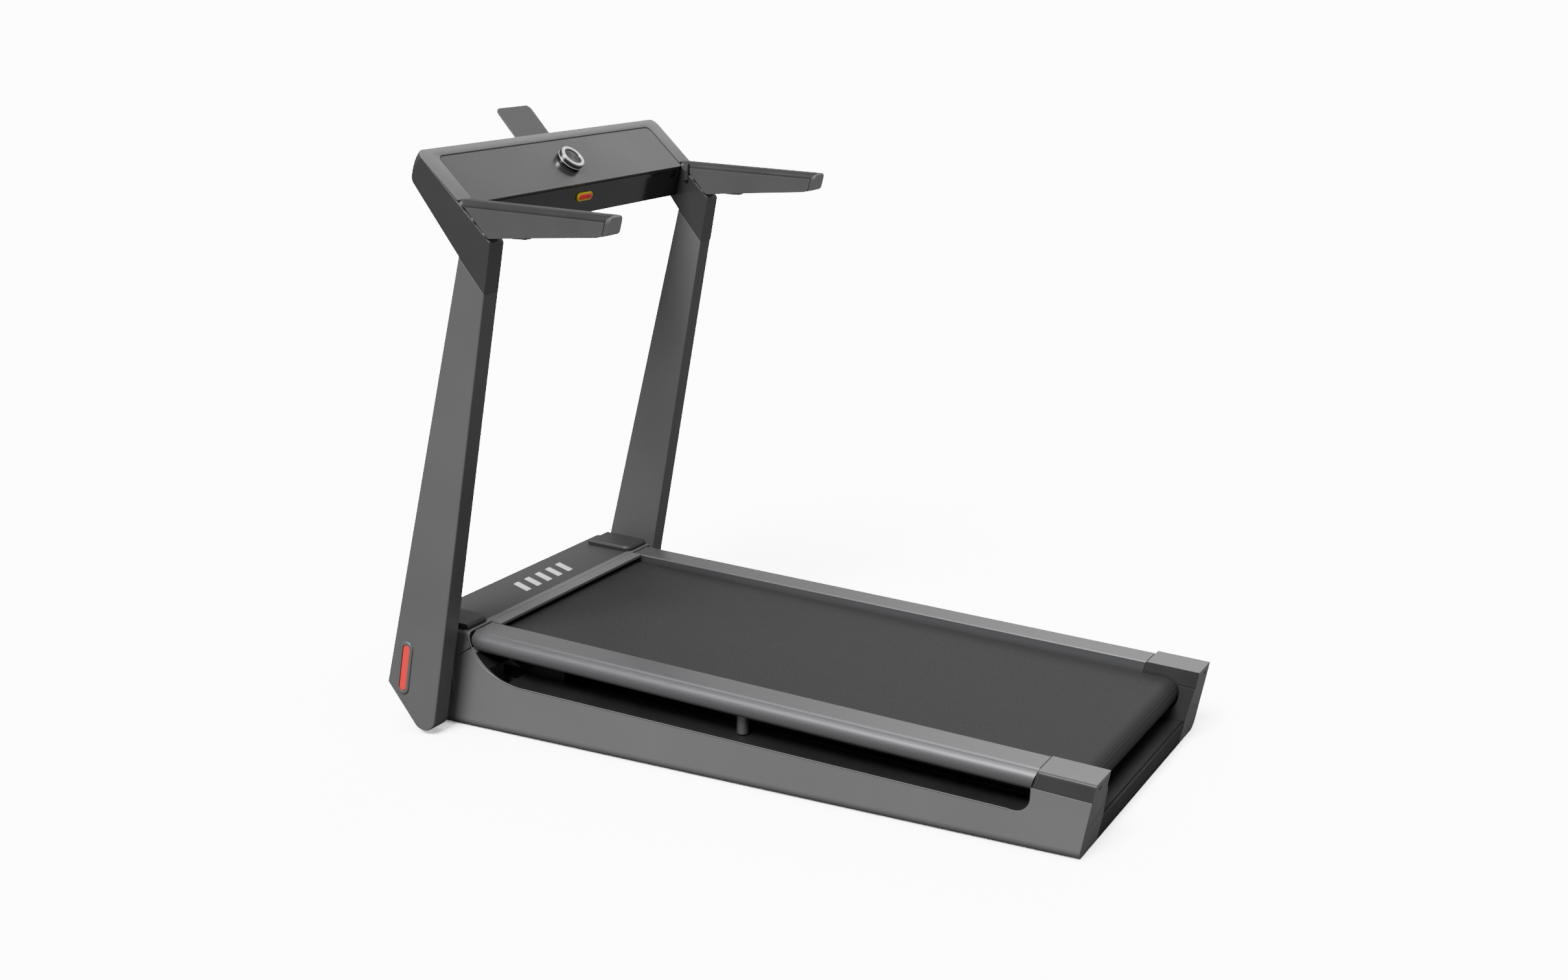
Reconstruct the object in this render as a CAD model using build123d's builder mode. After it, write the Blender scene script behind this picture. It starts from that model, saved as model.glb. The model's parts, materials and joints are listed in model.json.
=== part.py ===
from build123d import *
import math
import os

os.makedirs("parts", exist_ok=True)

# A folding treadmill, in mm, +Z up. +Y runs from the step-on end to the console, X across.
# The origin is on the floor in the middle of the footprint. Side-view outlines are given as
# (distance ahead of the rear floor corner, height), and side_plane puts them in this frame.
rear_y = -623.1           # where the rear floor corner lies
gap = 0.4                 # joint gap between neighbouring pieces

# Base
base_half = 297.0         # half width over the side beams
beam_inner = 231.0        # inner face of a side beam, above its slope
floor_half = 212.0        # half width of the floor between the beams
floor_height = 45.0       # top of the rear cross member
clearance_under = 1.0     # beams' height above the floor, they stand on rubber feet
edge_radius = 18.0        # rounded lower edge of the beams
deck_rise = 0.0458        # slope of the rails' tops
deck_start = 131.4        # height of that plane over the rear floor corner
rail_height = 37.0
rail_front = 1131.0
post_y = 600.0            # support post in each side window
post_x = 262.0
post_radius = 10.5

# Rollers and belt
roller_radius = 24.0
roller_half = 226.0
belt_half = 224.0
belt_thickness = 2.0
rear_roller_y, rear_roller_z = 36.0, 88.0
front_roller_y, front_roller_z = 1166.0, 146.0
axle_radius = 6.0
fit = 0.05                # radial clearance of turning pieces
board_thickness = 12.0

# Drive under the hood
motor_y, motor_z, motor_radius = 1214.0, 84.0, 37.0
pulley_inner, pulley_outer = 229.0, 241.0
front_pulley_radius = 28.0
motor_pulley_radius = 11.0
hood_front = 1265.0

# Mast
upright_inner, upright_outer = 322.4, 360.0
pivot_y, pivot_z = 1200.0, 90.0
pin_radius = 8.0
console_slope = 44.0
console_top_y, console_top_z = 1138.8, 1027.5
console_corner = 17.0
panel_top, panel_bottom = 17.0, 120.0   # distances down the slope from the console's top edge
knob_down = 68.5
knob_radius = 24.2
rest_slope = 49.0
rest_half = 50.0
rest_thickness = 3.5

# Handrails
rail_inner_x = 323.0
hinge_x, hinge_y = 322.0, 1044.0

deck_angle = math.degrees(math.atan(deck_rise))
belt_rise = (front_roller_z - rear_roller_z) / (front_roller_y - rear_roller_y)
belt_angle = math.degrees(math.atan(belt_rise))
roller_spacing = math.hypot(front_roller_y - rear_roller_y, front_roller_z - rear_roller_z)


def side_plane(x):
    """Side view at x: local x runs forward from the rear floor corner, local y runs up."""
    return Plane(origin=(x, rear_y, 0), x_dir=(0, 1, 0), z_dir=(1, 0, 0))


def slope_plane(y, z, degrees):
    """Plane through (y, z) that climbs forward: local x runs across, local y up the slope."""
    tilt = math.radians(degrees)
    normal = (0, -math.sin(tilt), math.cos(tilt))
    return Plane(origin=(0, rear_y + y, z), x_dir=(1, 0, 0), z_dir=normal)


def deck_height(y):
    return deck_start + deck_rise * y


def write(piece, name):
    piece.part.label = name
    export_step(piece.part, f"parts/{name}.step")


def write_both_sides(piece, name):
    """Writes a piece made on the right, and its mirror image on the left."""
    with BuildPart() as mirrored:
        mirror(piece.part, about=Plane.YZ)
    write(piece, f"right_{name}")
    write(mirrored, f"left_{name}")


def write_pair(piece, name):
    """Writes a piece made on the right and its mirror image as one node of two solids."""
    with BuildPart() as pair:
        add(piece.part)
        mirror(piece.part, about=Plane.YZ)
    write(pair, name)


def cylinder_across(y, z, radius, x_from, x_to, mode=Mode.ADD):
    """Round bar along X."""
    with BuildSketch(side_plane(x_from)) as outline:
        with Locations((y, z)):
            Circle(radius)
    extrude(outline.sketch, amount=x_to - x_from, mode=mode)


def block(y_from, y_to, z_from, z_to, x_from, x_to, mode=Mode.ADD):
    """Rectangular block, given by its side view and its span across."""
    with BuildSketch(side_plane(x_from)) as outline:
        with Locations(((y_from + y_to) / 2, (z_from + z_to) / 2)):
            Rectangle(y_to - y_from, z_to - z_from)
    extrude(outline.sketch, amount=x_to - x_from, mode=mode)


# --- End covers: plates let into the raked rear face of each beam and end cap ---
rake = math.degrees(math.atan2(25.0, 128.0))
rake_plane = Plane(
    origin=(0, rear_y, 0),
    x_dir=(1, 0, 0),
    z_dir=(0, -math.cos(math.radians(rake)), -math.sin(math.radians(rake))),
)
cover_outline = [(237.0, 125.5), (291.5, 125.5), (291.5, 53.0), (224.5, 68.0)]
cover_depth = 3.0


def cover_sketch(grow):
    with BuildSketch(rake_plane.offset(1.0)) as sketch:
        with BuildLine():
            Polyline(*cover_outline, close=True)
        make_face()
        offset(amount=grow)
    return sketch.sketch


with BuildPart() as cover_pocket:
    extrude(cover_sketch(gap), amount=-(1.0 + cover_depth))

with BuildPart() as end_cover:
    extrude(cover_sketch(0), amount=-(cover_depth - gap + 1.0))
    split(bisect_by=rake_plane.offset(-0.1), keep=Keep.BOTTOM)
    with BuildSketch(rake_plane.offset(1.0)):
        with Locations((272.0, 119.0)):
            SlotOverall(13.0, 4.6)
    extrude(amount=-10.0, mode=Mode.SUBTRACT)
write_pair(end_cover, "end_covers")

# --- Side beams: box sections with a long window under the rails ---
with BuildPart() as beam_core:
    with BuildSketch(side_plane(200.0)):
        with BuildLine():
            Polyline((112.0, 5.0), (112.0, 59.0), (352.0, 68.8), (1040.0, 92.5), (1112.0, 128.0),
                     (1112.0, 5.0), close=True)
        make_face()
    extrude(amount=100.0)
    with BuildSketch(Plane.XZ.offset(-700.0)):
        with BuildLine():
            Polyline((217.0, 5.0), (217.0, 44.0), (235.0, 128.0), (293.0, 128.0), (293.0, 14.0), (284.0, 5.0),
                     close=True)
        make_face()
    extrude(amount=1400.0, mode=Mode.INTERSECT)

with BuildPart() as side_beam:
    with BuildSketch(side_plane(205.0)) as beam_side:
        with BuildLine():
            Polyline((1127.5, 156.5), (1159.0, 137.0), (1262.0, 137.0), (1262.0, 52.0), (1236.0, clearance_under),
                     (-0.2, clearance_under), (-19.7, 101.0), (78.6, 106.8), (80.6, 63.2), (352.0, 72.8),
                     (1030.0, 96.5))
            ThreePointArc((1030.0, 96.5), (1095.0, 119.5), (1127.5, 156.5))
        make_face()
        fillet(beam_side.vertices().sort_by_distance((80.6, 63.2))[0], 25.0)
    extrude(amount=base_half - 205.0)
    with BuildSketch(Plane.XZ.offset(-700.0)) as beam_end:
        with BuildLine():
            Polyline((floor_half, 0.0), (floor_half, floor_height), (beam_inner, 129.0), (beam_inner, 200.0),
                     (base_half, 200.0), (base_half, 0.0), close=True)
        make_face()
        fillet(beam_end.vertices().sort_by_distance((base_half, 0))[0], edge_radius)
    extrude(amount=1400.0, mode=Mode.INTERSECT)
    add(beam_core.part, mode=Mode.SUBTRACT)
    add(cover_pocket.part, mode=Mode.SUBTRACT)
    # pedestal that carries the front axle, inside the hood
    block(1148.0, 1184.0, 130.0, 160.0, 250.0, 290.0)
    # recess around the rear roller's end, open towards the window
    cylinder_across(rear_roller_y, rear_roller_z, 29.6, 200.0, 229.0, Mode.SUBTRACT)
    block(rear_roller_y, 114.0, rear_roller_z - 29.6, rear_roller_z + 29.6, 200.0, 229.0, Mode.SUBTRACT)
    # room for the pulleys
    block(1126.0, 1240.0, 62.0, 170.0, 200.0, 246.0, Mode.SUBTRACT)
    # axle bores, hinge pin bore, tension bolt bore, wheel pocket and foot sockets
    cylinder_across(rear_roller_y, rear_roller_z, axle_radius + fit, 220.0, 264.4, Mode.SUBTRACT)
    cylinder_across(front_roller_y, front_roller_z, axle_radius + fit, 240.0, 284.4, Mode.SUBTRACT)
    cylinder_across(pivot_y, pivot_z, pin_radius + fit, 270.0, 300.0, Mode.SUBTRACT)
    with BuildSketch(Plane.XZ.offset(-rear_y + 30.0)):
        with Locations((252.0, rear_roller_z)):
            Circle(4.0 + fit)
    extrude(amount=-(30.0 + rear_roller_y), mode=Mode.SUBTRACT)
    block(1204.0, 1270.0, -1.0, 56.0, 240.0, 268.0, Mode.SUBTRACT)
    cylinder_across(1232.0, 26.0, 5.0 + fit, 232.0, 276.0, Mode.SUBTRACT)
    with BuildSketch(Plane.XY):
        with Locations((262.0, rear_y + 50.0), (262.0, rear_y + 1160.0)):
            Circle(14.0 + gap)
    extrude(amount=6.0 + gap, mode=Mode.SUBTRACT)
write_both_sides(side_beam, "side_beam")

with BuildPart() as rubber_foot:
    with BuildSketch(Plane.XY):
        with Locations((262.0, rear_y + 50.0), (262.0, rear_y + 1160.0)):
            Circle(14.0)
    extrude(amount=6.0)
write_pair(rubber_foot, "rubber_feet")

# --- Rear cross member: raked like the beams' ends, with a step along its top edge ---
with BuildPart() as rear_crossmember:
    with BuildSketch(side_plane(-floor_half + gap)):
        with BuildLine():
            Polyline((-0.2, clearance_under), (-8.0, floor_height - 4.0), (-4.0, floor_height - 4.0),
                     (-4.0, floor_height), (60.0, floor_height), (60.0, clearance_under), close=True)
        make_face()
    extrude(amount=2 * (floor_half - gap))
    block(4.0, 55.0, clearance_under + 4.0, floor_height - 6.0, -floor_half + 6.0, floor_half - 6.0, Mode.SUBTRACT)
write(rear_crossmember, "rear_crossmember")

# --- Floor pan: a folded sheet channel ---
with BuildPart() as floor_pan:
    block(60.4, 1257.0, 2.0, 24.0, -floor_half + gap, floor_half - gap)
    block(60.0, 1258.0, 4.5, 25.0, -floor_half + 3.0, floor_half - 3.0, Mode.SUBTRACT)
write(floor_pan, "floor_pan")

# --- Side rails: hollow extrusions with a rounded outer side, a turned-up front end ---
rail_start = 66.0
rail_profile_plane = Plane(
    origin=(0, rear_y + rail_start, deck_height(rail_start)),
    x_dir=(1, 0, 0),
    z_dir=(0, math.cos(math.radians(deck_angle)), math.sin(math.radians(deck_angle))),
)
with BuildPart() as side_rail:
    with BuildSketch(rail_profile_plane):
        with BuildLine():
            Polyline((284.0, rail_height), (241.0, rail_height), (232.0, rail_height - 7.0), (232.0, 1.5),
                     (233.5, 0.0), (281.5, 0.0), (284.5, 2.6))
            ThreePointArc((284.5, 2.6), (base_half, 20.0), (284.0, rail_height))
        make_face()
    extrude(amount=1080.0)
    with BuildSketch(side_plane(225.0)) as rail_side:
        with BuildLine():
            Polyline((68.9, 140.0), (rail_front, 195.0), (rail_front, 146.0), (81.9, 97.9), (79.9, 103.0), close=True)
        make_face()
        fillet(rail_side.vertices().sort_by_distance((rail_front, 146.0))[0], 32.0)
    extrude(amount=80.0, mode=Mode.INTERSECT)
    with BuildSketch(rail_profile_plane):
        with BuildLine():
            Polyline((236.0, rail_height - 9.0), (236.0, 4.0), (283.0, 4.0), (292.0, 20.5),
                     (283.0, rail_height - 4.0), (243.0, rail_height - 4.0), close=True)
        make_face()
    extrude(amount=1020.0, mode=Mode.SUBTRACT)
write_both_sides(side_rail, "side_rail")

# --- End caps over the rails' rear ends ---
with BuildPart() as end_cap:
    with BuildSketch(side_plane(beam_inner)):
        with BuildLine():
            Polyline((-25.2, 130.6), (69.0, 135.4), (78.2, 107.3), (-19.8, 101.5), close=True)
        make_face()
    extrude(amount=base_half - beam_inner)
    fillet(end_cap.edges().group_by(Axis.Z)[-1].sort_by(Axis.X)[0], 1.5)
    outer_top = end_cap.faces().sort_by(Axis.X)[-1].edges().sort_by(Axis.Z)[-1]
    fillet(outer_top, 5.0)
    add(cover_pocket.part, mode=Mode.SUBTRACT)
write_both_sides(end_cap, "end_cap")

# --- Rollers on fixed axles, with a bearing in each end ---
def roller_parts(y, z, pulley):
    with BuildPart() as roller:
        cylinder_across(y, z, roller_radius, -roller_half, roller_half)
        if pulley:
            cylinder_across(y, z, front_pulley_radius, pulley_inner, pulley_outer)
            cylinder_across(y, z, 18.0, roller_half, pulley_inner)
            for groove in range(4):
                x = pulley_inner + 2.0 + 2.4 * groove
                with BuildSketch(side_plane(x)) as groove_ring:
                    with Locations((y, z)):
                        Circle(front_pulley_radius + 1.0)
                        Circle(front_pulley_radius - 1.2, mode=Mode.SUBTRACT)
                extrude(groove_ring.sketch, amount=1.2, mode=Mode.SUBTRACT)
        far_end = pulley_outer if pulley else roller_half
        cylinder_across(y, z, axle_radius + 2.0, -roller_half, far_end, Mode.SUBTRACT)
        cylinder_across(y, z, roller_radius - 3.0, -roller_half + 14.0, roller_half - 14.0, Mode.SUBTRACT)
        cylinder_across(y, z, 14.0, -roller_half, -roller_half + 12.0, Mode.SUBTRACT)
        cylinder_across(y, z, 14.0, far_end - 12.0, far_end, Mode.SUBTRACT)
    with BuildPart() as bearings:
        for x in (-roller_half + 0.5, far_end - 11.5):
            cylinder_across(y, z, 13.97, x, x + 11.0)
        cylinder_across(y, z, axle_radius + fit, -roller_half, far_end, Mode.SUBTRACT)
    return roller, bearings


rear_roller, rear_bearings = roller_parts(rear_roller_y, rear_roller_z, False)
front_roller, front_bearings = roller_parts(front_roller_y, front_roller_z, True)
write(rear_roller, "rear_roller")
write(rear_bearings, "rear_bearings")
write(front_roller, "front_roller")
write(front_bearings, "front_bearings")

with BuildPart() as rear_axle:
    cylinder_across(rear_roller_y, rear_roller_z, axle_radius, -264.0, 264.0)
    chamfer(rear_axle.edges().filter_by(GeomType.CIRCLE), 0.8)
write(rear_axle, "rear_axle")

with BuildPart() as front_axle:
    cylinder_across(front_roller_y, front_roller_z, axle_radius, -284.0, 284.0)
    chamfer(front_axle.edges().filter_by(GeomType.CIRCLE), 0.8)
write(front_axle, "front_axle")

with BuildPart() as tension_bolt:
    with BuildSketch(Plane.XZ.offset(-(rear_y - 6.0))):
        with Locations((252.0, rear_roller_z)):
            Circle(4.0)
    extrude(amount=-(6.0 + rear_roller_y - axle_radius - gap))
write_pair(tension_bolt, "tension_bolts")

# --- Running belt: a closed loop round both rollers ---
belt_plane = Plane(
    origin=(-belt_half, rear_y + rear_roller_y, rear_roller_z),
    x_dir=(0, math.cos(math.radians(belt_angle)), math.sin(math.radians(belt_angle))),
    z_dir=(1, 0, 0),
)
belt_inner_radius = roller_radius + 0.1
with BuildPart() as running_belt:
    with BuildSketch(belt_plane):
        with Locations((roller_spacing / 2, 0)):
            SlotCenterToCenter(roller_spacing, 2 * (belt_inner_radius + belt_thickness))
            SlotCenterToCenter(roller_spacing, 2 * belt_inner_radius, mode=Mode.SUBTRACT)
    extrude(amount=2 * belt_half)
write(running_belt, "running_belt")

# --- Deck board on rubber cushions and cross bars, inside the belt's loop ---
board_top = belt_inner_radius - gap
bar_places = (180.0, 545.0, 910.0)


def deck_slab(x_half, along_from, along_to, up_from, up_to):
    """Slab inside the belt's loop, placed along and square to the belt."""
    plane = Plane(
        origin=(-x_half, rear_y + rear_roller_y, rear_roller_z),
        x_dir=(0, math.cos(math.radians(belt_angle)), math.sin(math.radians(belt_angle))),
        z_dir=(1, 0, 0),
    )
    with BuildSketch(plane) as outline:
        with Locations(((along_from + along_to) / 2, (up_from + up_to) / 2)):
            Rectangle(along_to - along_from, up_to - up_from)
    extrude(outline.sketch, amount=2 * x_half)


with BuildPart() as deck_board:
    deck_slab(228.0, 40.0, 1080.0, board_top - board_thickness, board_top)
    chamfer(deck_board.edges().filter_by(Axis.X).group_by(Axis.Z)[-1], 2.0)
write(deck_board, "deck_board")

with BuildPart() as deck_crossbars:
    for place in bar_places:
        deck_slab(231.6, place - 15.0, place + 15.0, -6.0, 7.6)
write(deck_crossbars, "deck_crossbars")

with BuildPart() as deck_cushions:
    cushion_plane = Plane(
        origin=(0, rear_y + rear_roller_y, rear_roller_z),
        x_dir=(1, 0, 0),
        z_dir=(0, -math.sin(math.radians(belt_angle)), math.cos(math.radians(belt_angle))),
    )
    with BuildSketch(cushion_plane.offset(7.6 + 0.05)):
        for place in bar_places:
            with Locations((-190.0, place), (190.0, place)):
                Circle(12.0)
    extrude(amount=board_top - board_thickness - 7.6 - 0.1)
write(deck_cushions, "deck_cushions")

with BuildPart() as deck_post:
    post_top = deck_height(post_y) - rail_height - 0.9
    with BuildSketch(Plane.XY.offset(83.2)):
        with Locations((post_x, rear_y + post_y)):
            Circle(post_radius)
    extrude(amount=post_top - 83.2)
    chamfer(deck_post.edges().group_by(Axis.Z)[0], 0.8)
write_pair(deck_post, "deck_posts")

# --- Motor hood, its trim strip and the two raised pads ---
with BuildPart() as motor_hood:
    with BuildSketch(side_plane(-base_half)) as hood_side:
        with BuildLine():
            Polyline((1133.4, 155.0), (1159.2, 137.6), (1262.4, 137.6), (hood_front, 150.0),
                     (hood_front, 189.0), (1137.2, 183.8))
            Spline((1137.2, 183.8), (1136.0, 170.0), (1133.4, 155.0))
        make_face()
        fillet(hood_side.vertices().sort_by_distance((hood_front, 189.0))[0], 10.0)
    extrude(amount=2 * base_half)
    hood_top_edges = motor_hood.edges().filter_by(lambda e: abs(e.center().X) > base_half - 0.1)
    fillet(hood_top_edges.group_by(Axis.Z)[-1], 6.0)
    block(1120.0, 1261.5, 130.0, 179.6, -246.0, 246.0, Mode.SUBTRACT)
    block(1142.0, 1261.5, 130.0, 179.6, -292.0, 292.0, Mode.SUBTRACT)
write(motor_hood, "motor_hood")

with BuildPart() as hood_trim:
    with BuildSketch(slope_plane(1112.8, deck_height(1112.8) - 4.5, deck_angle)):
        with Locations((0, 12.0)):
            Rectangle(2 * (beam_inner + 0.4), 23.6)
    extrude(amount=5.0)
    chamfer(hood_trim.edges().filter_by(Axis.X).group_by(Axis.Z)[-1], 1.0)
write(hood_trim, "hood_trim")

with BuildPart() as hood_pad:
    with BuildSketch(slope_plane(1140.0, deck_height(1140.0) + 0.6, deck_angle)) as pad_outline:
        with BuildLine():
            Polyline((228.0, 0.0), (291.0, 0.0), (291.0, 97.0), (228.0, 97.0), close=True)
        make_face()
        fillet(pad_outline.vertices().group_by(Axis.Y)[0].sort_by(Axis.X)[0], 16.0)
    extrude(amount=10.0)
    pad_top = hood_pad.faces().sort_by(Axis.Z)[-1]
    chamfer(pad_top.edges().sort_by(Axis.X)[:-1], 4.0)
write_pair(hood_pad, "hood_pads")

# --- Front panel between the beams, with the power inlet and the power switch ---
inlet_x, switch_x, inlet_z = -150.0, -100.0, 62.0
with BuildPart() as front_panel:
    block(1258.4, 1261.9, 26.0, 137.0, -floor_half + gap, floor_half - gap)
    block(1246.0, 1259.0, 26.0, 29.5, -floor_half + gap, floor_half - gap)
    block(1240.0, 1270.0, inlet_z - 11.0, inlet_z + 11.0, inlet_x - 14.5, inlet_x + 14.5, Mode.SUBTRACT)
    block(1240.0, 1270.0, inlet_z - 7.0, inlet_z + 7.0, switch_x - 11.0, switch_x + 11.0, Mode.SUBTRACT)
write(front_panel, "front_panel")

with BuildPart() as power_inlet:
    block(1238.0, 1263.5, inlet_z - 10.5, inlet_z + 10.5, inlet_x - 14.0, inlet_x + 14.0)
    block(1262.2, 1263.9, inlet_z - 14.0, inlet_z + 14.0, inlet_x - 18.0, inlet_x + 18.0)
    block(1246.0, 1270.0, inlet_z - 8.0, inlet_z + 8.0, inlet_x - 11.5, inlet_x + 11.5, Mode.SUBTRACT)
    for pin in (-7.0, 0.0, 7.0):
        block(1245.5, 1260.0, inlet_z - 3.0, inlet_z + 3.0, inlet_x + pin - 1.0, inlet_x + pin + 1.0)
write(power_inlet, "power_inlet")

with BuildPart() as power_switch:
    with BuildSketch(side_plane(switch_x - 9.5)):
        with BuildLine():
            Polyline((1250.0, inlet_z), (1258.0, inlet_z - 6.0), (1264.6, inlet_z - 6.0), (1262.8, inlet_z),
                     (1264.6, inlet_z + 6.0), (1258.0, inlet_z + 6.0), close=True)
        make_face()
    extrude(amount=19.0)
write(power_switch, "power_switch")

# --- Motor, its turning parts, the drive belt and the controller ---
with BuildPart() as motor_body:
    cylinder_across(motor_y, motor_z, motor_radius, -60.0, 150.0)
    cylinder_across(motor_y, motor_z, motor_radius - 8.0, -68.0, 158.0)
    block(motor_y - 26.0, motor_y + 26.0, 5.0, motor_z - 20.0, -40.0, 130.0)
    cylinder_across(motor_y, motor_z, axle_radius + fit, -70.0, 160.0, Mode.SUBTRACT)
write(motor_body, "motor_body")

with BuildPart() as motor_shaft:
    cylinder_across(motor_y, motor_z, axle_radius, -76.0, 243.0)
write(motor_shaft, "motor_shaft")

with BuildPart() as motor_flywheel:
    cylinder_across(motor_y, motor_z, 34.0, 166.0, 180.0)
    cylinder_across(motor_y, motor_z, 9.0, 180.0, pulley_inner)
    cylinder_across(motor_y, motor_z, motor_pulley_radius, pulley_inner, pulley_outer)
    cylinder_across(motor_y, motor_z, axle_radius + 0.02, 160.0, 245.0, Mode.SUBTRACT)
write(motor_flywheel, "motor_flywheel")

with BuildPart() as drive_belt:
    for grow, mode in ((3.2, Mode.ADD), (0.2, Mode.SUBTRACT)):
        with BuildSketch(side_plane(pulley_inner + 1.0)):
            with Locations((front_roller_y, front_roller_z)):
                Circle(front_pulley_radius + grow)
            with Locations((motor_y, motor_z)):
                Circle(motor_pulley_radius + grow)
            make_hull()
        extrude(amount=10.0, mode=mode)
write(drive_belt, "drive_belt")

with BuildPart() as motor_controller:
    block(1120.0, 1230.0, 8.0, 10.0, -200.0, -90.0)
    block(1135.0, 1215.0, 10.0, 34.0, -196.0, -180.0)
    for y in (1140.0, 1165.0, 1190.0):
        cylinder_across(y, 19.0, 8.0, -170.0, -120.0)
write(motor_controller, "motor_controller")

# --- Transport wheels in the beams' front ends ---
wheel_y, wheel_z, wheel_radius = 1232.0, 26.0, 24.0
with BuildPart() as wheel:
    cylinder_across(wheel_y, wheel_z, wheel_radius, 243.0, 265.0)
    fillet(wheel.edges().filter_by(GeomType.CIRCLE), 3.0)
    cylinder_across(wheel_y, wheel_z, 5.0 + fit, 240.0, 270.0, Mode.SUBTRACT)
write_both_sides(wheel, "wheel")

with BuildPart() as wheel_axle:
    cylinder_across(wheel_y, wheel_z, 5.0, 233.0, 275.0)
write_pair(wheel_axle, "wheel_axles")

# --- Folding hinge of the mast: a boss on each beam and a pin ---
with BuildPart() as hinge_bracket:
    with BuildSketch(side_plane(base_half + 0.3)):
        with Locations((pivot_y, pivot_z)):
            RectangleRounded(56.0, 56.0, 16.0)
    extrude(amount=3.0)
    cylinder_across(pivot_y, pivot_z, 22.0, base_half + 0.3, upright_inner - 0.4)
    cylinder_across(pivot_y, pivot_z, pin_radius + fit, base_half, upright_inner, Mode.SUBTRACT)
write_pair(hinge_bracket, "hinge_brackets")

with BuildPart() as hinge_pin:
    cylinder_across(pivot_y, pivot_z, pin_radius, 272.0, 346.0)
    chamfer(hinge_pin.edges().filter_by(GeomType.CIRCLE), 1.0)
write_pair(hinge_pin, "hinge_pins")

# --- Uprights: leaning box sections with a pointed, rounded foot ---
bar_lean = 11.5
bar_y, bar_z = 1230.0, 122.0
joint_rear, joint_front = (1015.2, 800.6), (1063.6, 860.4)


def bar_plane(x):
    """Side view about the release bar, leaning with it: local y runs up the bar."""
    lean = math.radians(bar_lean)
    return Plane(
        origin=(x, rear_y + bar_y, bar_z),
        x_dir=(0, math.cos(lean), math.sin(lean)),
        z_dir=(1, 0, 0),
    )


def bar_slot(x, length, width, depth, mode=Mode.ADD):
    with BuildSketch(bar_plane(x)) as outline:
        SlotOverall(length, width, rotation=90)
    extrude(outline.sketch, amount=depth, mode=mode)


with BuildPart() as upright:
    with BuildSketch(side_plane(upright_inner)) as upright_side:
        with BuildLine():
            Polyline((1272.0, 88.7), (1182.9, -27.0), joint_rear, joint_front, close=True)
        make_face()
        fillet(upright_side.vertices().sort_by_distance((1182.9, -27.0))[0], 26.0)
        fillet(upright_side.vertices().sort_by_distance((1272.0, 88.7))[0], 6.0)
    extrude(amount=upright_outer - upright_inner)
    joint_middle = (upright_outer, rear_y + 1039.4, 830.5)
    outer_edges = upright.faces().sort_by(Axis.X)[-1].edges().sort_by_distance(joint_middle)
    fillet(outer_edges[1:], 2.5)
    with BuildSketch(side_plane(upright_inner + 3.5)):
        with BuildLine():
            Polyline((1152.0, 190.0), (1022.0, 802.0), (1016.0, 860.0), (1059.0, 868.0), (1236.0, 200.0),
                     close=True)
        make_face()
    extrude(amount=upright_outer - upright_inner - 7.0, mode=Mode.SUBTRACT)
    cylinder_across(pivot_y, pivot_z, pin_radius + fit, upright_inner - 1, 347.0, Mode.SUBTRACT)
    bar_slot(upright_outer - 10.0, 89.6, 15.4, 20.0, Mode.SUBTRACT)
write_both_sides(upright, "upright")

with BuildPart() as bar_bezel:
    bar_slot(upright_outer + 0.05, 102.0, 26.0, 2.4)
    chamfer(bar_bezel.faces().sort_by(Axis.X)[-1].edges(), 1.2)
    bar_slot(upright_outer - 1.0, 89.6, 15.4, 6.0, Mode.SUBTRACT)
write_pair(bar_bezel, "bar_bezels")

with BuildPart() as release_bar:
    bar_slot(upright_outer - 5.0, 88.4, 14.2, 6.6)
    chamfer(release_bar.faces().sort_by(Axis.X)[-1].edges(), 0.6)
write_both_sides(release_bar, "release_bar")

# --- Gloss upper arms, rounded where they meet the console's top corners ---
panel_plane = slope_plane(console_top_y, console_top_z, console_slope)
with BuildPart() as arm:
    with BuildSketch(side_plane(upright_inner)) as arm_side:
        with BuildLine():
            Polyline((1014.8, 801.2), (998.0, 884.6), (console_top_y, console_top_z), (1151.3, 980.0),
                     (1063.2, 861.0), close=True)
        make_face()
        fillet(arm_side.vertices().sort_by_distance((998.0, 884.6))[0], 9.0)
        fillet(arm_side.vertices().sort_by_distance((1151.3, 980.0))[0], 15.0)
    extrude(amount=upright_outer - upright_inner)
    with BuildSketch(panel_plane.offset(-260.0)) as corner_outline:
        with Locations((0, -200.0)):
            Rectangle(2 * upright_outer, 400.0)
        fillet(corner_outline.vertices().group_by(Axis.Y)[-1], console_corner)
    extrude(amount=520.0, mode=Mode.INTERSECT)
    # eye of the handrail's hinge, standing up from the arm's top edge
    with BuildSketch(Plane.XY.offset(918.0)):
        with Locations((hinge_x, rear_y + hinge_y)):
            Circle(5.0)
        with Locations((hinge_x + 2.5, rear_y + hinge_y)):
            Rectangle(5.0, 10.0)
    extrude(amount=18.0)
    with BuildSketch(Plane.XY.offset(910.0)):
        with Locations((hinge_x, rear_y + hinge_y)):
            Circle(2.0 + fit)
    extrude(amount=40.0, mode=Mode.SUBTRACT)
write_both_sides(arm, "arm")

# --- Console between the arms: frame, sloped panel, fascia under it, back cover ---
inner_half = upright_inner - gap
fascia_plane = Plane(
    origin=(0, rear_y + 1055.5, 941.0),
    x_dir=(1, 0, 0),
    z_dir=(0, -0.97, -0.2425),
)
back_angle = math.degrees(math.atan2(980.0 - 888.0, 1151.3 - 1068.5))
rest_y, rest_z = 1146.0, 998.4
rest_plane = slope_plane(rest_y, rest_z, rest_slope)

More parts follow.
